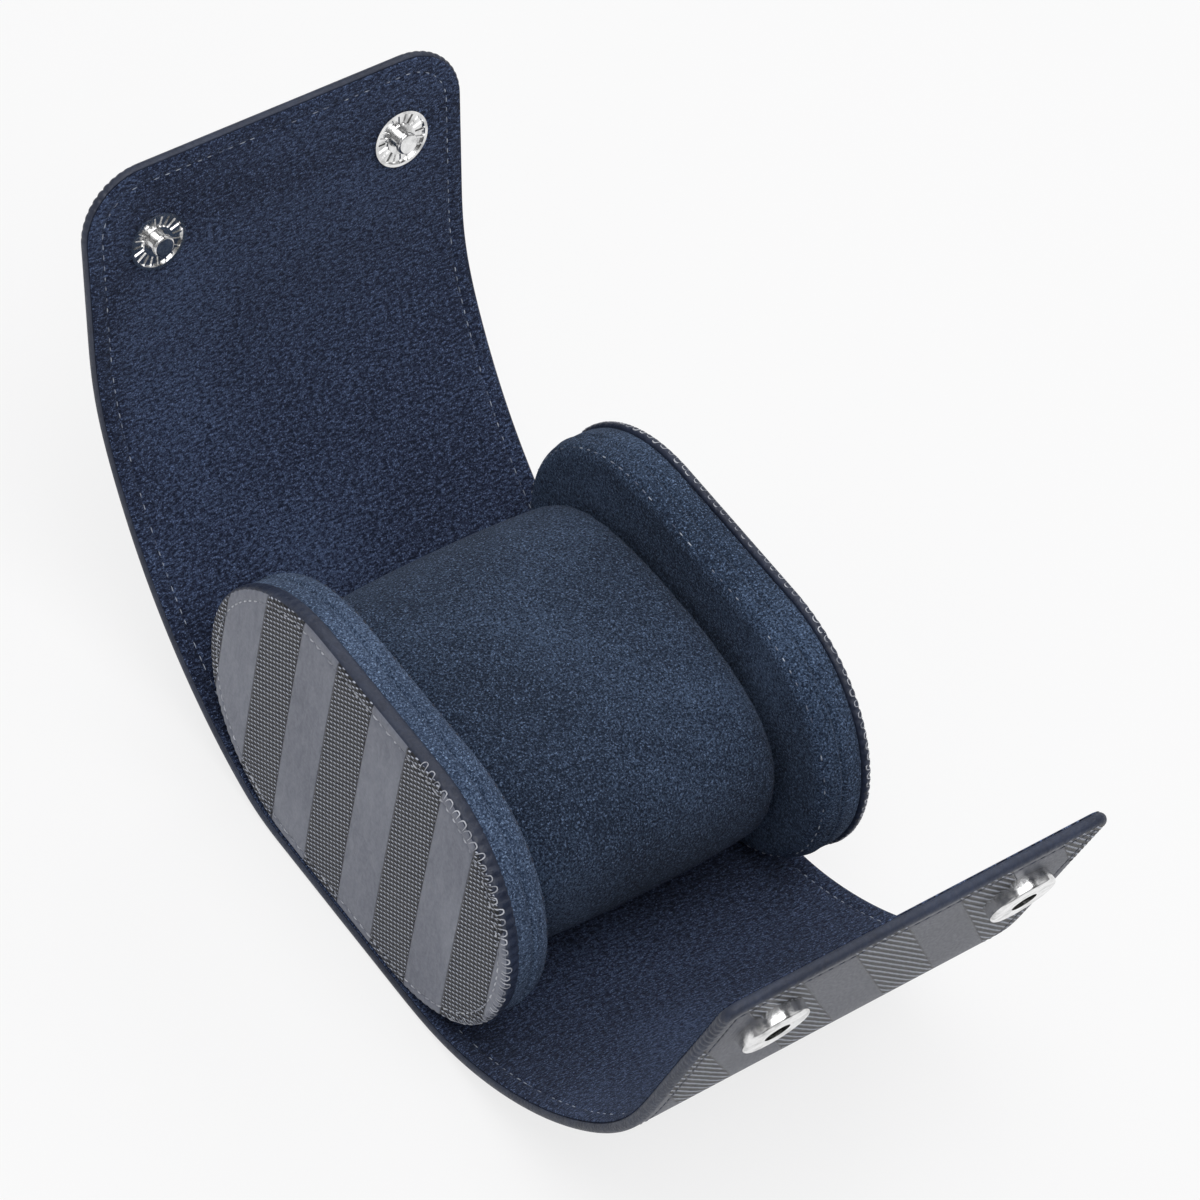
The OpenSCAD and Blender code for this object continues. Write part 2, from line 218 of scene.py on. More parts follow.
def leather(name, which, base, light, gloss=0.45, weave=None):
    """Smooth creased leather; weave, where it is given, adds stripes of an embossed weave with painted shade
    and painted highlights on its ribs
    """
    m = Material(name, srgb(base), 0.44, Specular_IOR_Level=gloss)
    place = m.coords(which)
    fine = m.noise(place, 1500, detail=3, rough=0.6)
    large = m.noise(place, 30, detail=3, twist=0.5)
    crease = m.noise(m.coords(which, (1.0, 1.0, 0.35)), 620, detail=4, rough=0.65, twist=1.0)
    colour = m.ramp(m.total((large, 0.55), (crease, 0.45)), [(0.36, srgb(base)), (0.64, srgb(light))])
    height = m.total((fine, 0.1), (crease, 0.12))
    if weave:
        colour, height = woven(m, place, fine, colour, height, **weave)
    else:
        height = m.math("MULTIPLY", height, 3.5)
    m.set(Base_Color=colour, Roughness=m.step(fine, 0.3, 0.7, 0.4, 0.58))
    m.bump(height, strength=0.85, distance=0.0005)
    return m.data


def woven(m, place, fine, colour, height, along, across, stripe=0.022, slant=0.0, rib=0.001, lean=1.5):
    """Puts stripes of a slanting weave between smooth ones, each with a pressed line along its sides; the
    weave's colour goes with its rib height, with painted shade in the troughs and painted highlights on the
    ridges, and the pressed line is painted dark as painted shade in its groove
    """
    p, q = m.axes(place)[along], m.axes(place)[across]
    band = m.wave(m.math("MULTIPLY_ADD", q, slant, p), stripe)
    mask = m.step(band, -0.03, 0.03)
    line = m.step(m.math("ABSOLUTE", band), 0.0, 0.09, 1.0, 0.0)
    uneven = m.math("MULTIPLY", m.noise(place, 420, detail=1), 0.00035)
    slanting = m.math("ADD", m.math("MULTIPLY_ADD", q, lean, p), uneven)
    ribs = m.wave(slanting, rib * math.hypot(1, lean))
    cross = m.wave(m.math("MULTIPLY_ADD", p, -0.35, q), rib)
    threads = m.math("ADD", m.total((ribs, 0.36), (cross, 0.2), (fine, 0.24)), 0.38)
    # Colours by rib height: the weave's own dark tone, with painted shade in the troughs and painted
    # highlights on the ridges
    rib_shade_and_highlight_tones = [(0.46, "070a14"), (0.65, "191e30"), (0.79, "6c7387"), (0.92, "c6ccda")]
    colour = m.mix(mask, colour, m.ramp(threads, [(at, srgb(tone)) for at, tone in rib_shade_and_highlight_tones]))
    # Painted shade along the groove of the pressed line
    colour = m.mix(m.math("MULTIPLY", line, 0.65), colour, srgb("1d2130"))
    raised = m.math("MULTIPLY", mask, threads)
    return colour, m.total((height, 1.0), (raised, 1.3), (line, -0.45))


def thread(name, base, light):
    """Twisted sewing thread"""
    m = Material(name, srgb(base), 0.55, Sheen_Weight=0.1)
    place = m.coords("Object")
    tone = m.noise(place, 230, detail=3, rough=0.7)
    m.set(Base_Color=m.ramp(tone, [(0.38, srgb(base)), (0.6, srgb(light))]))
    m.bump(m.noise(place, 4200, detail=1), strength=0.5, distance=0.0002)
    return m.data


def chrome(name, grey):
    """Plated metal with cloudy tone and fine scratches"""
    m = Material(name, (grey, grey, grey), 0.16, Metallic=1.0)
    place = m.coords("Object")
    cloud = m.noise(place, 330, detail=3, rough=0.6)
    scratch = m.noise(place, 1400, detail=3, rough=0.6)
    m.set(Base_Color=m.ramp(cloud, [(0.34, grey * 0.64), (0.5, grey * 0.97), (0.66, grey * 1.1)]),
          Roughness=m.step(scratch, 0.3, 0.75, 0.1, 0.26))
    m.bump(scratch, strength=0.14, distance=0.00012)
    return m.data


def board():
    """Grey pressed board"""
    m = Material("grey_board", srgb("8b8172"), 0.85)
    place = m.coords("Object")
    fibre = m.noise(place, 900, detail=4, rough=0.7)
    m.set(Base_Color=m.ramp(fibre, [(0.3, srgb("7a705f")), (0.7, srgb("a3998a"))]))
    m.bump(m.noise(place, 2200), strength=0.3, distance=0.0002)
    return m.data


M_LINING = suede("lining_suede", "151b2d", "2a3249", "485776",
                 which="UV", ridge=(0.5, 1.0, 1.0), ridges=1850, tip_and_glint_share=0.85)
# The near disc's suede is a lighter copy of the far disc's: painted light for the light that falls on its top
# wall
M_WALL = {LEFT: suede("near_disc_suede_painted_light", "2a384e", "465671", "687c99", tip_and_glint_share=0.7),
          RIGHT: suede("far_disc_suede", "1d2738", "34435a", "536683")}
M_PILLOW = suede("pillow_soft_suede", "172030", "2b374b", "495a74", tip_and_glint_share=0.8)
M_WRAP = leather("wrap_leather", "UV", "3b3f4d", "4d515e",
                 weave=dict(along="X", across="Y", stripe=0.0231, slant=0.55, rib=0.0012, lean=0.8))
M_DISC = leather("disc_leather", "Object", "616573", "7f838f", weave=dict(along="Y", across="Z"))
M_RIM = leather("rim_leather", "Object", "181f31", "2f384d", gloss=0.5)
M_THREAD = thread("pale_thread", "46516a", "b3bccb")
M_GREY = thread("grey_thread", "747884", "c6c9d1")
M_DARK = thread("dark_thread", "151b2b", "343c50")
M_CHROME = chrome("snap_chrome", 0.78)
M_MAGNET = chrome("magnet_metal", 0.3)
M_BOARD = board()


# Mesh making
def shade_smooth(mesh):
    mesh.polygons.foreach_set("use_smooth", np.ones(len(mesh.polygons), bool))
    mesh.update()


def solid(name, points, faces, materials, index=None, flat=None, merge=False):
    """A smooth piece from points in millimetres; flat gives each point's place on the flat material"""
    mesh = bpy.data.meshes.new(name)
    mesh.from_pydata([tuple(p) for p in np.asarray(points, float) * MM], [],
                     [tuple(int(i) for i in face) for face in faces])
    if flat is not None:
        layer = mesh.uv_layers.new(name="surface")
        corners = np.zeros(len(mesh.loops), np.int32)
        mesh.loops.foreach_get("vertex_index", corners)
        layer.data.foreach_set("uv", (np.asarray(flat, float) * MM)[corners].astype(np.float32).ravel())
    for material in materials:
        mesh.materials.append(material)
    if index is not None:
        mesh.polygons.foreach_set("material_index", np.asarray(index, np.int32))
    if merge:
        merged = bmesh.new()
        merged.from_mesh(mesh)
        bmesh.ops.remove_doubles(merged, verts=merged.verts, dist=1e-6)
        merged.to_mesh(mesh)
        merged.free()
    shade_smooth(mesh)
    piece = bpy.data.objects.new(name, mesh)
    scene.collection.objects.link(piece)
    return piece


def ring_faces(rings, around, first=0):
    """Faces between closed rings of points that follow each other, from the point numbered first"""
    faces = []
    for start in range(first, first + (rings - 1) * around, around):
        for k in range(around):
            k2 = (k + 1) % around
            faces.append((start + k, start + k2, start + around + k2, start + around + k))
    return faces


def unit(vectors):
    return vectors / np.linalg.norm(vectors, axis=1)[:, None]


def running_total(values):
    """Sums from zero up to each value"""
    return np.concatenate([[0], np.cumsum(values)])


def way_along(line):
    """Distance along a line of points"""
    return running_total(np.linalg.norm(np.diff(line, axis=0), axis=1))


# Stitches: the sides of a thread, how far it stands off, how unevenly the stitches are placed,
# the distance to the point that a stitch heads for, and its form as (way along, thickness)
THREAD_SIDES = 6
STITCH_LIFT = 0.03
STITCH_SPREAD = 0.12
STITCH_AHEAD = 0.3
STITCH_FORM = [(-1.0, 0.0), (-0.8, 0.62), (-0.35, 0.95), (0.35, 0.95), (0.8, 0.62), (1.0, 0.0)]


def stitches(name, places, along, normal, length, width, height, material, seed, jitter, skip):
    """Small ovals of thread on a surface; jitter varies their length, and skip is the share that is hidden"""
    rng = np.random.default_rng(seed)
    along, normal = unit(along), unit(normal)
    points, faces = [], []
    for place, ahead, up, side in zip(places, along, normal, np.cross(normal, along)):
        stretch = 1 + rng.normal(0, jitter)
        if rng.uniform() < skip:
            continue
        faces += ring_faces(len(STITCH_FORM), THREAD_SIDES, len(points))
        for way, thick in STITCH_FORM:
            middle = place + ahead * way * length / 2 * stretch
            lift = STITCH_LIFT - 0.5 * height * way * way
            for k in range(THREAD_SIDES):
                turn = 2 * math.pi * k / THREAD_SIDES
                out = thick * height / 2 * math.sin(turn) + lift
                points.append(middle + side * thick * width / 2 * math.cos(turn) + up * out)
    return solid(name, points, faces, [material], merge=True)


# The line of an arm: its spacing, how far it runs on past both ends, and the half length of a rounded fold
LINE_STEP = 0.25
LINE_OVER = 20
FOLD_REACH = 6.0


class Arm:
    """One arm of the wrap: its middle line from the middle of the base to its free end"""

    def __init__(self, sign, lean, step, bends, end, corner):
        self.sign = sign
        self.corner = corner
        self.strips = len(bends)
        self.length = BASE_HALF + step * self.strips + end
        self.folds = [BASE_HALF + step * i for i in range(self.strips + 1)]
        s = np.arange(-LINE_OVER, self.length + LINE_OVER, LINE_STEP)
        leans = [lean + sum(bends[:i]) for i in range(self.strips + 1)]
        plain = np.interp(s, [BASE_HALF - 1e-3] + self.folds, [0] + leans)
        area = running_total((plain[1:] + plain[:-1]) / 2 * LINE_STEP)
        rounded = (np.interp(s + FOLD_REACH, s, area) - np.interp(s - FOLD_REACH, s, area)) / (2 * FOLD_REACH)
        rounded = np.where((s < s[0] + FOLD_REACH) | (s > s[-1] - FOLD_REACH), plain, rounded)
        heading = np.radians(rounded)
        middle = (heading[1:] + heading[:-1]) / 2
        y = running_total(np.cos(middle) * LINE_STEP)
        z = running_total(np.sin(middle) * LINE_STEP)
        start = np.searchsorted(s, 0.0)
        self.line = s, y - y[start], z - z[start] + WRAP_T / 2, heading

    def at(self, x, s, v):
        """Place of a point x across the arm, s along it and v off its middle, towards the lining"""
        x, s, v = np.broadcast_arrays(np.asarray(x, float), np.asarray(s, float), np.asarray(v, float))
        y, z, heading = (np.interp(s, self.line[0], column) for column in self.line[1:])
        return np.stack([x, self.sign * (y - v * np.sin(heading)), z + v * np.cos(heading)], -1)

    def cuts(self):
        """Where the arm's skins are cut into pieces: its two ends and the middle of each strip"""
        middles = [(a + b) / 2 for a, b in zip(self.folds[:-1], self.folds[1:])]
        return [0.0] + middles + [self.length]

    def blend(self, piece, bodies, i):
        """Bakes the piece's place into its mesh; fold i's centre and way are worked out, but the piece is not
        bent and bodies is not used
        """
        fold = self.folds[i]
        centre = self.at(0, fold, 0)
        way = self.at(0, fold + 0.5, 0) - self.at(0, fold - 0.5, 0)
        way = FOLD_REACH * way / np.linalg.norm(way)
        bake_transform(piece)


# The edge of an arm; a corner with a radius above ROUND_FROM is pleated, and a smaller one has
# its pleats in the last PLEATED_L before the end; they run PLEAT_IN in from the edge
ROUND_FROM = 6.0
PLEATED_L = 24.0
PLEAT_PITCH = 1.75
PLEAT_DEPTH = 0.27
PLEAT_IN = 3.2

# Columns of faces in the flat middle of a strip and of the free end, and points round a corner
STRIP_COLUMNS = 25
END_COLUMNS = 22
ROUND_STEPS = 60
SHARP_STEPS = 14


def outline(arm, s0, s1, end, spacing):
    """Points (x, s, nx, ns, gather, way) round a piece, from its left side over the free end to its right
    side, and the number of the first corner's last point; a strip gives the points of its left side alone"""
    r = arm.corner
    round_end = r > ROUND_FROM
    top = arm.length - r if end else s1

    def gather(s):
        share = min(1.0, max(0.0, (s - arm.length + PLEATED_L) / (PLEATED_L - 1)))
        return 0.0 if round_end or not end else math.sin(math.pi * share) ** 0.5

    rows = max(2, int(round((top - s0) / spacing)))
    left = [(-WRAP_HALF, s, 1.0, 0.0, gather(s), s) for s in np.linspace(s0, top, rows + 1)]
    if not end:
        return left, None
    steps = ROUND_STEPS if round_end else SHARP_STEPS
    arc = []
    for k in range(1, steps + 1):
        turn = math.pi / 2 * k / steps
        folded = math.sin(2 * turn) ** 0.5 if round_end and k < steps else 0.0
        arc.append((r - WRAP_HALF - r * math.cos(turn), arm.length - r + r * math.sin(turn),
                    math.cos(turn), -math.sin(turn), folded, r * turn))
    straight = np.linspace(r - WRAP_HALF, WRAP_HALF - r, END_COLUMNS + 1)[1:]
    edge = [(x, arm.length, 0.0, -1.0, 0.0, 0.0) for x in straight]
    mirror = [(-x, s, -nx, ns, g, way) for x, s, nx, ns, g, way in reversed(left + arc[:-1])]
    return left + arc + edge + mirror, len(left) - 1 + steps


def inset(arm, x, s, nx, ns, d):
    """Point d in from the edge; past the corner's centre it runs along both sides to a sharp corner"""
    half = WRAP_HALF - d
    if nx == 0:
        x *= min(1.0, half / (WRAP_HALF - arm.corner))
    return min(half, max(-half, x + nx * d)), min(arm.length - d, s + ns * d)


def pleat(gather, way, d, v):
    """Small folds of the leather that is turned round an edge"""
    if gather <= 0 or d > PLEAT_IN:
        return d, v
    fold = 1 - abs(math.sin(math.pi * way / PLEAT_PITCH)) ** 0.55
    depth = PLEAT_DEPTH * fold * gather * (1 - (d / PLEAT_IN) ** 2)
    angle = math.atan2(v, max(EDGE - d, 0.05))
    return d + depth * math.cos(angle), v - depth * math.sin(angle)


# The skins of an arm
class Skin:
    """Points (x, s, v) and faces of one skin; faces on the rim take the second material"""

    def __init__(self, profile, middle, rim_depth, flip):
        self.profile = profile
        self.middle = middle
        self.rim_depth = rim_depth
        self.flip = flip
        self.points, self.faces, self.index = [], [], []

    def add(self, x, s, v):
        self.points.append((x, s, v))
        return len(self.points) - 1

    def on_rim(self, j):
        """1 where the profile's step j lies above the rim's depth"""
        if self.rim_depth is None or j >= len(self.profile) - 1:
            return 0
        return int(self.profile[j][1] + self.profile[j + 1][1] > 2 * self.rim_depth)

    def quad(self, a, b, c, d, index):
        self.faces.append((d, c, b, a) if self.flip else (a, b, c, d))
        self.index.append(index)

    def strip(self, stations):
        """Rows across the arm, with the profile at both sides"""
        reach = WRAP_HALF - self.profile[-1][0]
        columns = [(d - WRAP_HALF, v) for d, v in self.profile]
        columns += [(x, self.middle) for x in np.linspace(-reach, reach, STRIP_COLUMNS + 1)[1:-1]]
        columns += [(WRAP_HALF - d, v) for d, v in reversed(self.profile)]
        rows = [[self.add(x, s, v) for x, v in columns] for s in stations]
        last = len(columns) - 1
        for a, b in zip(rows[:-1], rows[1:]):
            for j in range(last):
                self.quad(a[j], a[j + 1], b[j + 1], b[j], self.on_rim(min(j, last - 1 - j)))

    def free_end(self, arm, track, corner, pleats):
        """Rings round the edge, with the middle filled by rows from side to side"""
        rings = []
        for d, v in self.profile:
            ring = []
            for x, s, nx, ns, gather, way in track:
                into, depth = pleat(gather, way, d, v) if pleats else (d, v)
                ring.append(self.add(*inset(arm, x, s, nx, ns, into), depth))
            rings.append(ring)
        for j, (a, b) in enumerate(zip(rings[:-1], rings[1:])):
            for k in range(len(track) - 1):
                self.quad(a[k], b[k], b[k + 1], a[k + 1], self.on_rim(j))
        last = rings[-1]
        rows = []
        for k in range(corner):
            x, s = self.points[last[k]][:2]
            inner = [self.add(x - 2 * x * j / END_COLUMNS, s, self.middle) for j in range(1, END_COLUMNS)]
            rows.append([last[k]] + inner + [last[-1 - k]])
        rows.append(last[corner:corner + END_COLUMNS + 1])
        for a, b in zip(rows[:-1], rows[1:]):
            for j in range(END_COLUMNS):
                self.quad(a[j], a[j + 1], b[j + 1], b[j], 0)


def panel(name, part, profile, middle, materials, rim_depth=None, flip=False, pleats=False, spacing=1.3):
    """profile runs as (inset, depth) from its hidden end over the edge to the last ring, and all inside that
    is at the depth middle; part is the arm, where the piece starts and stops, and if it is the free end"""
    arm, s0, s1, end = part
    skin = Skin(profile, middle, rim_depth, flip)
    track, corner = outline(arm, s0, s1, end, spacing)
    if end:
        skin.free_end(arm, track, corner, pleats)
    else:
        skin.strip([point[1] for point in track])
    laid = np.array(skin.points)
    return solid(name, arm.at(*laid.T), skin.faces, materials, skin.index, laid[:, :2], merge=end)


# Stitches along the edge of an arm
ARM_PITCH = 2.35
ARM_TRACK = 0.5
LINING_STITCH = dict(into=3.75, depth=1.13, length=1.3, width=0.26, height=0.28, skip=0.2)
LEATHER_STITCH = dict(into=3.0, depth=0.06 - EDGE, length=1.7, width=0.4, height=0.32, skip=0.0)


def arm_stitches(name, part, material, seed, into, depth, **form):
    """Row of stitches that runs at one inset round a piece, or along both sides of a strip"""
    arm, s0, s1, end = part
    track = outline(arm, s0, s1, end, ARM_TRACK)[0]
    run = np.array([inset(arm, x, s, nx, ns, into) for x, s, nx, ns, gather, way in track])
    places, along, normal = [], [], []
    for line in [run] if end else [run, run * [-1, 1]]:
        way = way_along(line)
        d = np.arange(ARM_PITCH / 2, way[-1], ARM_PITCH)
        d = d + np.random.default_rng(seed).normal(0, STITCH_SPREAD, len(d))
        here, ahead = ([np.interp(w, way, line[:, i]) for i in (0, 1)] for w in (d, d + STITCH_AHEAD))
        p = arm.at(*here, depth)
        places.append(p)
        along.append(arm.at(*ahead, depth) - p)
        normal.append(arm.at(*here, depth + math.copysign(0.5, depth)) - p)
    places, along, normal = (np.concatenate(rows) for rows in (places, along, normal))
    keep = np.linalg.norm(along, axis=1) > 1e-6
    return stitches(name, places[keep], along[keep], normal[keep],
                    material=material, seed=seed, jitter=0.15, **form)


# The wrap
def round_edge(first, last, count, r=EDGE):
    turns = np.radians(np.linspace(first, last, count))
    return [(r - r * math.cos(a), r * math.sin(a)) for a in turns]


# Leather: hidden hem, rolled edge, then the outer face with the pressed line of its stitches;
# the part above RIM_DEPTH has the plain leather of the rim
STITCH_LINE = [(1.9, 0), (2.6, 0.02), (3.0, 0.14), (3.4, 0.02), (4.5, 0), (7.0, 0)]
LEATHER_PROFILE = [(2.8, 0.2), (2.0, 0.45), (1.1, 0.72), (0.62, 0.92)]
LEATHER_PROFILE += round_edge(50, -90, 14)
LEATHER_PROFILE += [(d, pressed - EDGE) for d, pressed in STITCH_LINE]
RIM_DEPTH = -1.2

# Lining: hidden edge, soft rounded rim, then the groove of its stitches and the face
LINING_PROFILE = [(1.9, 0.6), (1.1, 0.86), (0.62, 1.0), (0.54, 1.13), (0.64, 1.25), (1.0, 1.36), (1.9, 1.43)]
LINING_PROFILE += [(2.6, 1.43), (3.1, 1.38), (3.5, 1.25), (3.75, 1.13), (4.0, 1.24), (4.4, 1.35)]
LINING_PROFILE += [(5.4, 1.37), (7.5, 1.3)]
LINING_MIDDLE = 1.3


def build_arm(word, arm):
    """Leather, lining and stitches of one arm, in pieces cut at the middle of each strip"""
    bodies = ["base"] + [f"{word}_{i + 1}" for i in range(arm.strips)] + [f"{word}_end"]
    cuts = arm.cuts()
    for i, (s0, s1) in enumerate(zip(cuts[:-1], cuts[1:])):
        end = i == arm.strips
        tag = "end" if end else str(i + 1)
        part = arm, s0, s1, end
        outer = panel(f"{word}_wrap_leather_{tag}", part, LEATHER_PROFILE, -EDGE, [M_WRAP, M_RIM], RIM_DEPTH,
                      flip=arm.sign > 0, pleats=True, spacing=0.4 if end and arm.sign < 0 else 1.3)
        inner = panel(f"{word}_wrap_lining_{tag}", part, LINING_PROFILE, LINING_MIDDLE, [M_LINING],
                      flip=arm.sign < 0)
        pale = arm_stitches(f"{word}_lining_stitches_{tag}", part, M_THREAD, 11 + i, **LINING_STITCH)
        dark = arm_stitches(f"{word}_leather_stitches_{tag}", part, M_DARK, 31 + i, **LEATHER_STITCH)
        for piece, slot in ((outer, "outer_leather"), (inner, "suede_lining"),
                            (pale, "suede_lining"), (dark, "outer_leather")):
            arm.blend(piece, bodies, i)
        for piece, layer in ((outer, "leather"), (inner, "lining")):
            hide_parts(f"{word}_end_{layer}" if end else f"{word}_{layer}_{tag}")
            if word == "flap" and i == 0:
                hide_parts(f"base_{layer}")


build_arm("flap", Arm(**FLAP))
build_arm("lip", Arm(**LIP))


# The discs: gathers of the leather over the rim, which run GATHER_IN in from the edge,
# and the points along each arc and each flat of a ring
GATHER_PITCH = 2.1
GATHER_DEPTH = 0.48
GATHER_IN = 3.0
CAP_RING = (210, 60)
WALL_RING = (90, 30)
TRACK_RING = (160, 60)


def stadium(d, arc, flat):
    """Points (y, z, ny, nz, turn) round a disc, d in from its edge, clockwise from the top of the +Y arc;
    turn goes from 0 to 1 along an arc, and is 0 on a flat"""
    points = []
    for end in (1, -1):
        for k in range(arc):
            angle = end * math.pi / 2 - math.pi * k / arc
            points.append((end * DISC_FLAT / 2, math.cos(angle), math.sin(angle), k / arc))
        for k in range(flat):
            points.append((end * (DISC_FLAT / 2 - DISC_FLAT * k / flat), 0, -end, 0))
    return [(centre + (DISC_R - d) * ny, (DISC_R - d) * nz, ny, nz, turn) for centre, ny, nz, turn in points]


def gathers(y, turn, d, depth):
    """How far the leather is drawn in between its gathers, round the two arcs"""
    if not depth or turn == 0 or d >= GATHER_IN:
        return 0.0
    fold = 1 - abs(math.sin(math.pi * DISC_R * math.pi * turn / GATHER_PITCH)) ** 0.6
    share = 1.0 if y < 0 else 0.6
    return depth * share * fold * (1 - (d / GATHER_IN) ** 2) * math.sin(math.pi * turn) ** 0.5


def disc_shell(name, side, profile, ring_points, materials, rim_rings=0, gather_depth=0.0):
    """Rings of a profile (inset, depth from the outer face), of which the last closes on the middle line;
    the first rim_rings of them take the second material"""
    points, index = [], []
    for j, (d, depth) in enumerate(profile):
        ring = stadium(d, *ring_points)
        for y, z, ny, nz, turn in ring:
            pull = gathers(y, turn, d, gather_depth)
            sunk = pull / 2 if d > 0.3 else 0
            points.append((side * (DISC_X - depth - sunk), y - ny * pull, DISC_Z + z - nz * pull))
        index += [int(j < rim_rings)] * len(ring)
    faces = ring_faces(len(profile), len(ring))
    if side == LEFT:
        faces = [face[::-1] for face in faces]
    return solid(name, points, faces, materials, index[:len(faces)])


def rim_track(into):
    """Distance along the closed line round a disc, and its columns (y, z, ny, nz)"""
    line = np.array([point[:4] for point in stadium(into, *TRACK_RING)])
    line = np.concatenate([line, line[:1]])
    return way_along(line[:, :2]), line


def disc_stitches(name, side, material, seed, into, depth, pitch, lean, **form):
    """Row of stitches; lean turns them from the outer face (0) over the rim (90) to the inner face (180)"""
    way, line = rim_track(into)
    d = np.arange(0, way[-1] - pitch / 2, pitch)
    d = (d + np.random.default_rng(seed).normal(0, STITCH_SPREAD, len(d))) % way[-1]
    y, z, ny, nz = (np.interp(d, way, column) for column in line.T)
    ahead = [np.interp((d + STITCH_AHEAD) % way[-1], way, line[:, i]) for i in (0, 1)]
    x = np.full(len(d), side * (DISC_X - depth))
    outward, radial = side * math.cos(math.radians(lean)), math.sin(math.radians(lean))
    places = np.stack([x, y, DISC_Z + z], -1)
    along = np.stack([x * 0, ahead[0] - y, ahead[1] - z], -1)
    normal = np.stack([x * 0 + outward, ny * radial, nz * radial], -1)
    return stitches(name, places, along, normal, material=material, seed=seed, jitter=0.2, **form)


# The way of a loop from the stitched line (0) over the rim (1): inset from the edge and depth from the face
LOOP_WAY = [0, 0.45, 0.6, 0.75, 0.85, 1.05]
LOOP_IN = [2.6, 1.2, 0.62, 0.27, 0.14, 0.1]
LOOP_DEEP = [0.0, 0.0, 0.16, 0.5, 0.8, 1.7]
LOOP_PITCH = 2.2
LOOP_R = 0.14
LOOP_POINTS = 13


def thread_tube(centres, normal, points, faces):
    """Adds a thread with thin ends along a line of points on a surface with that normal"""
    along = unit(np.gradient(centres, axis=0))
    across = unit(np.cross(normal, along))
    up = np.cross(along, across)
    count = len(centres)
    faces += ring_faces(count, THREAD_SIDES, len(points))
    for i in range(count):
        r = LOOP_R * min(1.0, 0.35 + 2.2 * min(i, count - 1 - i) / count)
        for k in range(THREAD_SIDES):
            turn = 2 * math.pi * k / THREAD_SIDES
            points.append(centres[i] + r * (across[i] * math.cos(turn) + up[i] * math.sin(turn)))


def disc_loops(name, side, material, seed, spans, start, reach):
    """Bowed threads that go from start on the way over the rim out to reach and back, in spans of the edge"""
    way, line = rim_track(0)
    rng = np.random.default_rng(seed)
    u = np.linspace(0.04, 0.96, LOOP_POINTS)
    bow = np.copysign(np.abs(np.cos(np.pi * u)) ** 0.6, np.cos(np.pi * u)) / 2
    points, faces = [], []
    for first, last in spans:
        for d in np.arange(first * way[-1], last * way[-1], LOOP_PITCH):
            along = d + rng.normal(0, 0.1) - bow * LOOP_PITCH * rng.uniform(0.56, 0.78)
            out = start + (reach - start) * np.sin(np.pi * u) ** 0.7 * rng.uniform(0.74, 1.04)
            into, deep = np.interp(out, LOOP_WAY, LOOP_IN), np.interp(out, LOOP_WAY, LOOP_DEEP)
            y, z, ny, nz = (np.interp(along % way[-1], way, column) for column in line.T)
            x = side * (DISC_X - deep + STITCH_LIFT)
            centres = np.stack([x, y - ny * into, DISC_Z + z - nz * into], -1)
            thread_tube(centres, np.stack([0 * y + side, ny * 0.6, nz * 0.6], -1), points, faces)
    return solid(name, points, faces, [material])


# Leather turned over the rim, from its hidden end to the edge; the left disc shows more of it
CAP_SIDE = {LEFT: [(3.0, 3.3), (0.8, 3.25), (0.45, 3.1), (0.2, 2.7), (0.05, 2.0), (0.0, 1.35)],
            RIGHT: [(3.0, 2.0), (0.9, 2.0), (0.5, 1.95), (0.2, 1.75), (0.05, 1.5), (0.0, 1.3)]}
CAP_RIM_RINGS = 9
CAP_EDGE_R = 1.2
CROWN_FROM = 3.6
CROWN_L = 18
CROWN_LOW = 0.06
CROWN_RISE = 0.2


def cap_edge(angle):
    return CAP_EDGE_R * (1 - math.cos(angle)), CAP_EDGE_R * (1 - math.sin(angle))


def crown(d):
    """Height of the leather face's crown, d in from the edge"""
    return CROWN_LOW + CROWN_RISE * math.sin(min(1, (d - CROWN_FROM) / CROWN_L) * math.pi / 2)


# Leather face: rolled edge, the pressed line of its stitches, and a low crown
CAP = [cap_edge(angle) for angle in np.radians(np.linspace(12, 90, 7))]
CAP += [(1.9, -0.03), (2.4, 0.0), (2.7, 0.14), (3.0, 0.0)]
CAP += [(d, -crown(d)) for d in (CROWN_FROM, 6, 9, 12, 16, 20, 24, 28, DISC_R)]

# Suede wall: hidden edge, a deep and a shallow pressed seam, and the rounded inner edge with its sewn groove
WALL_EDGE_R = 3.0
WALL_IN = 0.64


def wall_edge(degrees):
    angle = math.radians(degrees)
    return WALL_IN + WALL_EDGE_R * (1 - math.cos(angle)), DISC_T - WALL_EDGE_R + WALL_EDGE_R * math.sin(angle)


WALL = [(3.0, 1.9), (1.2, 1.9), (0.8, 2.2), (0.6, 3.0), (0.5, 4.5), (0.52, 5.6)]
WALL += [(0.66, 6.2), (1.16, 6.6), (0.62, 6.95)]
WALL += [(0.42, 7.2), (0.38, 7.4), (0.5, 7.75), (0.72, 7.95), (0.62, 8.1)]
WALL += [wall_edge(degrees) for degrees in (8, 16, 24, 31, 38)]
WALL += [(1.52, 10.0), (1.72, 10.3), (2.0, 10.5)]
WALL += [wall_edge(degrees) for degrees in (64, 74, 83, 90)]
WALL += [(d, DISC_T) for d in (4.6, 8, 12, 18, 24, DISC_R)]

RIM_STITCH = dict(into=2.7, depth=0.04, pitch=2.1, length=1.5, width=0.34, height=0.36, lean=0, skip=0)
SEAM_STITCH = dict(into=1.62, depth=10.22, pitch=2.5, length=1.15, width=0.26, height=0.36,
                   lean=135, skip=0.25)


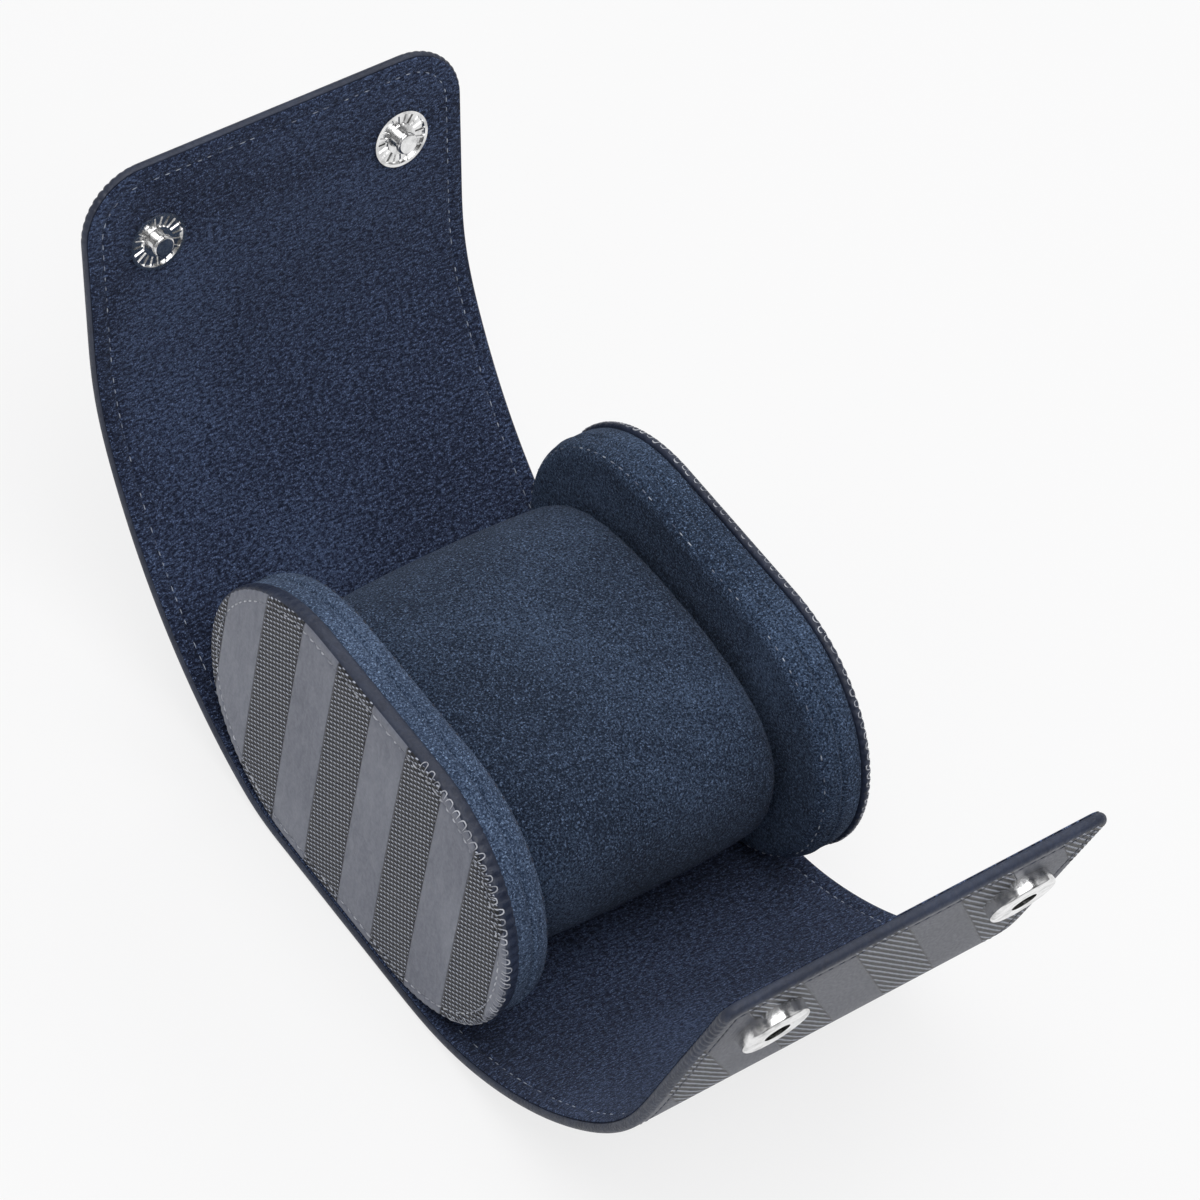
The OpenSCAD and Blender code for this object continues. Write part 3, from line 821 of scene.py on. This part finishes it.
def build_disc(word, side, seam_thread, **loops):
    """Leather face, padded suede wall, two rows of stitches and the loops over the rim of one disc"""
    cap = disc_shell(f"{word}_disc_cap", side, CAP_SIDE[side] + CAP, CAP_RING, [M_DISC, M_RIM],
                     CAP_RIM_RINGS, GATHER_DEPTH)
    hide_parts(f"{word}_disc_face")
    wall = disc_shell(f"{word}_disc_cushion", side, WALL, WALL_RING, [M_WALL[side]])
    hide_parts(f"{word}_disc_suede", f"{word}_disc_foam")
    rim = disc_stitches(f"{word}_disc_rim_stitches", side, M_GREY, 51, **RIM_STITCH)
    edge = disc_loops(f"{word}_disc_edge_loops", side, M_GREY, 52, **loops)
    seam = disc_stitches(f"{word}_disc_seam_stitches", side, seam_thread, 53, **SEAM_STITCH)
    for piece, slot in ((cap, "outer_leather"), (wall, "disc_suede"), (rim, "outer_leather"),
                        (edge, "outer_leather"), (seam, "disc_suede")):
        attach(piece, "base")


build_disc("left", LEFT, M_DARK, spans=[(0.58, 0.88)], start=0.2, reach=0.92)
build_disc("right", RIGHT, M_THREAD, spans=[(0.0, 0.3), (0.6, 1.0)], start=0.62, reach=1.02)


# The pillow: how far it starts inside its form, and the voxel and the cap of its cloth, in millimetres
PILLOW_SHY = 1.2
PILLOW_VOXEL = 2.2
PILLOW_CAP = 2.2
PILLOW_AROUND = 96
CLOTH_FRAMES = 20

# Sewing of the pillow: how far in from its ends, depth and width of each seam and of the puckers beside it,
# the slack between them, and the size of the pillow that these depths are a share of
SEAM_IN, SEAM_DEPTH, SEAM_WIDTH = 2.0, 0.5, 0.55
PUCKER_IN, PUCKER_DEPTH, PUCKER_WIDTH = 3.2, 0.22, 3.0
SLACK = 0.2
SEWN_R = 30


def pillow_size(x, shy=0.0):
    """Half length and half height of the pillow at x along the roll"""
    half = PILLOW_W / 2 - shy
    turn = max(0.0, min(1.0, 1 - (half - abs(x)) / PILLOW_EDGE))
    drop = PILLOW_EDGE * (1 - math.sqrt(1 - turn * turn)) + shy
    swell = PILLOW_CROWN * (1 - min(1, abs(2 * x / PILLOW_W)) ** 2.4)
    return PILLOW_L / 2 + swell - drop, PILLOW_H / 2 + swell - drop


def pillow_form(name, shy):
    """The pillow's closed form, which is by shy smaller all round than its full size"""
    half = PILLOW_W / 2 - shy
    edge = [half - PILLOW_EDGE * (1 - math.sin(math.radians(a))) for a in range(90, 0, -12)]
    middle = list(np.linspace(half - PILLOW_EDGE, PILLOW_EDGE - half, 20))
    rows = edge + middle + [-x for x in reversed(edge)]

    def square(value):
        return math.copysign(abs(value) ** (2 / PILLOW_SQUARE), value)

    points = []
    for x in rows:
        a, b = pillow_size(x, shy)
        for k in range(PILLOW_AROUND):
            turn = 2 * math.pi * k / PILLOW_AROUND
            points.append((x, a * square(math.cos(turn)), PILLOW_Z + b * square(math.sin(turn))))
    first = list(range(PILLOW_AROUND))
    last = [len(points) - PILLOW_AROUND + k for k in first]
    return solid(name, points, ring_faces(len(rows), PILLOW_AROUND) + [first[::-1], last], [M_PILLOW])


def read(mesh):
    places = np.zeros(len(mesh.vertices) * 3, np.float32)
    mesh.vertices.foreach_get("co", places)
    return places.reshape(-1, 3).astype(float)


def write(mesh, places):
    mesh.vertices.foreach_set("co", places.astype(np.float32).ravel())


def baked(piece):
    return bpy.data.meshes.new_from_object(piece.evaluated_get(bpy.context.evaluated_depsgraph_get()))


def apply_modifiers(piece):
    mesh = baked(piece)
    piece.modifiers.clear()
    piece.data = mesh


def puff(piece, voxel, cap):
    """Blows a closed form up as cloth; no point moves further than cap"""
    remesh = piece.modifiers.new("remesh", "REMESH")
    remesh.mode = "VOXEL"
    remesh.voxel_size = voxel * MM
    apply_modifiers(piece)
    start = read(piece.data)
    cloth = piece.modifiers.new("cloth", "CLOTH")
    settings = dict(quality=6, mass=0.08, air_damping=2.0, tension_stiffness=12, compression_stiffness=12,
                    shear_stiffness=4, bending_stiffness=0.4, use_pressure=True, uniform_pressure_force=4.0)
    for key, value in settings.items():
        setattr(cloth.settings, key, value)
    cloth.settings.effector_weights.gravity = 0
    cloth.point_cache.frame_start = 1
    cloth.point_cache.frame_end = CLOTH_FRAMES
    for number in range(1, CLOTH_FRAMES + 1):
        scene.frame_set(number)
    moved = read(baked(piece)) - start
    piece.modifiers.clear()
    scene.frame_set(1)
    far = np.linalg.norm(moved, axis=1)[:, None]
    print("cloth moved its points by up to %.2f mm, %.2f mm on average" % (far.max() / MM, far.mean() / MM))
    write(piece.data, start + moved * np.minimum(1, cap * MM / np.maximum(far, 1e-9)))
    smooth = piece.modifiers.new("smooth", "SUBSURF")
    smooth.levels = 1
    smooth.render_levels = 1
    apply_modifiers(piece)


def hump(value, centre, width):
    """Bell that is 1 at the centre, and next to nothing beyond twice the width"""
    return math.exp(-((value - centre) / width) ** 2)


def sew(piece):
    """Seams round both ends of the pillow with small puckers; nothing grows past the pillow's own form"""
    sewn = []
    for x, y, z in read(piece.data) / MM:
        z -= PILLOW_Z
        turn = math.atan2(z / PILLOW_H, y / PILLOW_L)
        inside = PILLOW_W / 2 - abs(x)
        waves = 0.5 + 0.5 * math.sin(46 * turn + 3 * math.sin(5 * turn))
        pucker = PUCKER_DEPTH * waves * hump(inside, PUCKER_IN, PUCKER_WIDTH)
        groove = SEAM_DEPTH * hump(inside, SEAM_IN, SEAM_WIDTH)
        slack = SLACK * math.sin(2.3 * turn + 0.11 * x) * math.sin(0.09 * x + 1.0)
        a, b = (max(size - max(0, slack), 1) for size in pillow_size(x))
        form = ((abs(y) / a) ** PILLOW_SQUARE + (abs(z) / b) ** PILLOW_SQUARE) ** (1 / PILLOW_SQUARE)
        keep = min(1.0, 1 / max(form, 1e-6)) * (1 - (pucker + groove) / SEWN_R)
        sewn.append((x, y * keep, PILLOW_Z + z * keep))
    write(piece.data, np.array(sewn) * MM)
    shade_smooth(piece.data)


def build_pillow():
    pillow = pillow_form("pillow_cushion", PILLOW_SHY)
    puff(pillow, PILLOW_VOXEL, PILLOW_CAP)
    sew(pillow)
    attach(pillow, "pillow")
    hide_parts("pillow_sleeve", "pillow_core")


build_pillow()


# Snaps, boards and other pieces that the construction gives as they are
def repaint(node, material):
    for slot in node.material_slots:
        slot.material = material


for word in ("stud_plates", "studs", "stud_washers", "magnet_caps", "magnet_rivets", "magnet_washers"):
    repaint(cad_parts[word], M_CHROME)
repaint(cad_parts["magnet_rings"], M_MAGNET)
for word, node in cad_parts.items():
    if word.endswith("board"):
        repaint(node, M_BOARD)


# Floor, light and camera; places are in metres
PAPER_WHITE = (0.975, 0.975, 0.976)
FLOOR_HALF = 4
TARGET = Vector((0, 0, 0.03))

# Greys of the studio from one side to the other: white screens with two dark flags between them
FLAGS = [(0.0, 0.9), (0.13, 0.9), (0.16, 0.12), (0.21, 0.12), (0.24, 1.0),
         (0.62, 1.0), (0.66, 0.1), (0.76, 0.1), (0.8, 1.0), (1.0, 0.7)]


def build_floor():
    """Paper that looks nearly white to the camera and in reflections, and takes the object's shadow"""
    m = Material("floor_paper", (0.86, 0.86, 0.865), 0.9)
    tone = m.noise(m.coords("Object"), 6)
    m.set(Base_Color=m.ramp(tone, [(0.3, (0.85, 0.85, 0.855)), (0.7, (0.87, 0.87, 0.875))]))
    rays = m.tree.nodes.new("ShaderNodeLightPath").outputs
    seen = m.math("MAXIMUM", rays["Is Camera Ray"], rays["Is Glossy Ray"])
    seen = m.math("MAXIMUM", seen, rays["Is Transmission Ray"])
    white = m.node("ShaderNodeEmission", {"Color": PAPER_WHITE})
    mixed = {0: m.math("MULTIPLY", seen, 0.8), 1: m.shader.outputs[0], 2: white}
    m.put(m.tree.nodes["Material Output"].inputs["Surface"], m.node("ShaderNodeMixShader", mixed))
    mesh = bpy.data.meshes.new("floor")
    corners = ((-1, -1), (1, -1), (1, 1), (-1, 1))
    mesh.from_pydata([(FLOOR_HALF * x, FLOOR_HALF * y, 0) for x, y in corners], [], [(0, 1, 2, 3)])
    mesh.materials.append(m.data)
    floor = bpy.data.objects.new("floor", mesh)
    scene.collection.objects.link(floor)


def build_studio():
    """White behind the object; what lights it is brighter above than below, with dark flags"""
    world = bpy.data.worlds.new("studio")
    world.use_nodes = True
    g = Graph(world.node_tree)
    way = g.axes(g.node("ShaderNodeTexCoord", out="Generated"))
    height = g.ramp(way["Z"], [(0.1, (0.34, 0.34, 0.35)), (0.62, 1.0)])
    flags = g.ramp(g.math("MULTIPLY_ADD", way["X"], 0.5, 0.5), FLAGS)
    sky = g.tree.nodes["Background"]
    g.put(sky.inputs["Color"], g.mix(1.0, height, flags, "MULTIPLY"))
    g.put(sky.inputs["Strength"], 0.9)
    white = g.node("ShaderNodeBackground", {"Color": PAPER_WHITE})
    behind = g.node("ShaderNodeLightPath", out="Is Camera Ray")
    mixed = g.node("ShaderNodeMixShader", {0: behind, 1: sky.outputs[0], 2: white})
    g.put(g.tree.nodes["World Output"].inputs["Surface"], mixed)
    scene.world = world


def lamp(name, place, size, power):
    """A round soft lamp that looks at the middle of the object"""
    light = bpy.data.lights.new(name, "AREA")
    light.shape = "DISK"
    light.size = size
    light.energy = power
    holder = bpy.data.objects.new(name, light)
    holder.location = place
    holder.rotation_euler = (TARGET - Vector(place)).to_track_quat("-Z", "Y").to_euler()
    scene.collection.objects.link(holder)


def build_camera():
    """The photograph's camera: its place, and its own axes to the right, up and back"""
    place = Vector((-0.472647, -0.466353, 0.865103))
    right = Vector((0.801328, -0.580773, 0.143444))
    up = Vector((0.381713, 0.681018, 0.624908))
    back = Vector((-0.460617, -0.446002, 0.767407))
    camera = bpy.data.cameras.new("camera")
    camera.sensor_width = 36.0
    camera.lens = 171.016
    camera.clip_start = 0.05
    camera.clip_end = 20
    holder = bpy.data.objects.new("camera", camera)
    holder.matrix_world = Matrix.Translation(place) @ Matrix((right, up, back)).transposed().to_4x4()
    scene.collection.objects.link(holder)
    scene.camera = holder


build_floor()
build_studio()
lamp("key", (-0.1, -0.3, 1.15), 0.9, 6.0)
lamp("edge", (0.7, 0.5, 0.75), 0.6, 1.6)
build_camera()
scene.view_settings.view_transform = "Standard"
